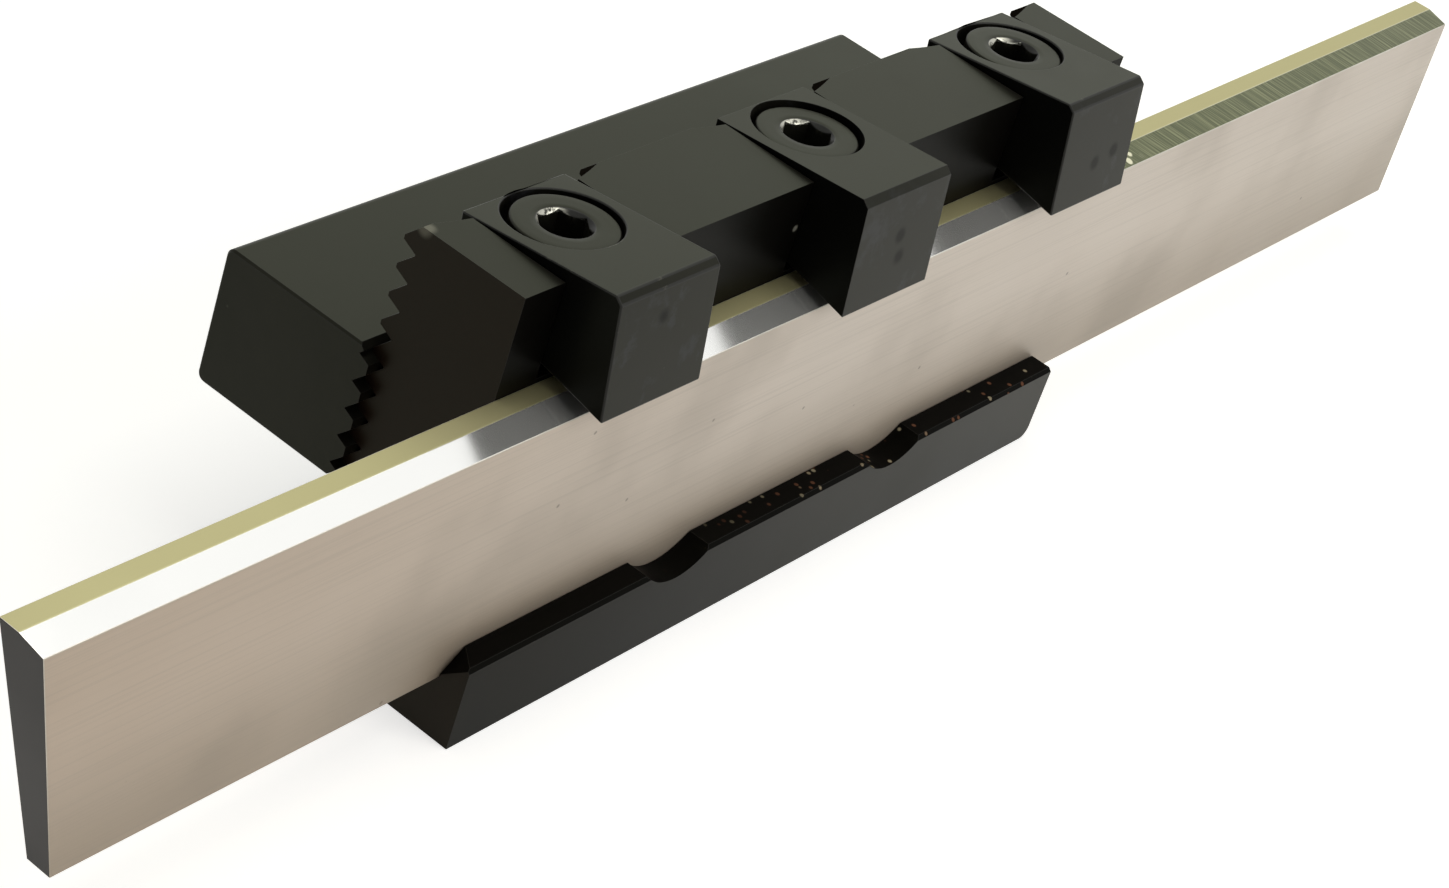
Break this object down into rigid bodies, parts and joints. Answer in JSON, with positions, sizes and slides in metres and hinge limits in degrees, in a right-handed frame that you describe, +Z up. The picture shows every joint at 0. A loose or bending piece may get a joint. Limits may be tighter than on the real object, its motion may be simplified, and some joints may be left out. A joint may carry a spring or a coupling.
{
  "type": "lathe parting blade holder",
  "caption": "Steel holder for a parting blade: slotted head with hook fingers and socket screws over a bevelled blade, on a serrated height-adjust shank.",
  "frame": {"origin": "on the head's underside, in the plane that the blade's back lies on, midway along the head", "axes": "+X along the blade towards its forward-leaning foot end, +Y from the blade back towards the shank, +Z up"},
  "size_m": [0.1586, 0.025, 0.0314],
  "materials": {
    "black_steel": "black oxide, satin",
    "clamp_steel": "black oxide, satin",
    "screw_steel": "black oxide, semi-gloss",
    "ground_steel": "ground"
  },
  "bodies": {
    "holder": {"head": "black_steel", "shank": "black_steel", "height_screw_left": "screw_steel", "height_screw_right": "screw_steel"},
    "blade": {"parting_blade": "ground_steel"},
    "clamp_left": {"clamp_left": "clamp_steel"},
    "clamp_screw_left": {"clamp_screw_left": "screw_steel"},
    "clamp_middle": {"clamp_middle": "clamp_steel"},
    "clamp_screw_middle": {"clamp_screw_middle": "screw_steel"},
    "clamp_right": {"clamp_right": "clamp_steel"},
    "clamp_screw_right": {"clamp_screw_right": "screw_steel"}
  },
  "joints": [
    {"name": "blade_slide", "type": "slide", "parent": "holder", "child": "blade", "axis": [1, 0, 0], "range_m": [-0.05, 0.03]},
    {"name": "clamp_left_rock", "type": "hinge", "parent": "holder", "child": "clamp_left", "pos_m": [-0.024, 0.00695, 0.02467], "axis": [1, 0, 0], "range_deg": [0, 6]},
    {"name": "clamp_screw_left_turn", "type": "hinge", "parent": "holder", "child": "clamp_screw_left", "pos_m": [-0.024, 0.00381, 0.02486], "axis": [0, -0.0593, -0.9982], "range_deg": [0, 172]},
    {"name": "clamp_middle_rock", "type": "hinge", "parent": "holder", "child": "clamp_middle", "pos_m": [0, 0.00695, 0.02467], "axis": [1, 0, 0], "range_deg": [0, 4.2]},
    {"name": "clamp_screw_middle_turn", "type": "hinge", "parent": "holder", "child": "clamp_screw_middle", "pos_m": [0, 0.00381, 0.02486], "axis": [0, -0.0593, -0.9982], "range_deg": [0, 121]},
    {"name": "clamp_right_rock", "type": "hinge", "parent": "holder", "child": "clamp_right", "pos_m": [0.024, 0.00695, 0.02467], "axis": [1, 0, 0], "range_deg": [0, 6.8]},
    {"name": "clamp_screw_right_turn", "type": "hinge", "parent": "holder", "child": "clamp_screw_right", "pos_m": [0.024, 0.00381, 0.02486], "axis": [0, -0.0593, -0.9982], "range_deg": [0, 194]}
  ],
  "couplings": [
    {"joint": "clamp_screw_left_turn", "follows": "clamp_left_rock", "ratio": 28.27},
    {"joint": "clamp_screw_middle_turn", "follows": "clamp_middle_rock", "ratio": 28.27},
    {"joint": "clamp_screw_right_turn", "follows": "clamp_right_rock", "ratio": 28.27}
  ]
}
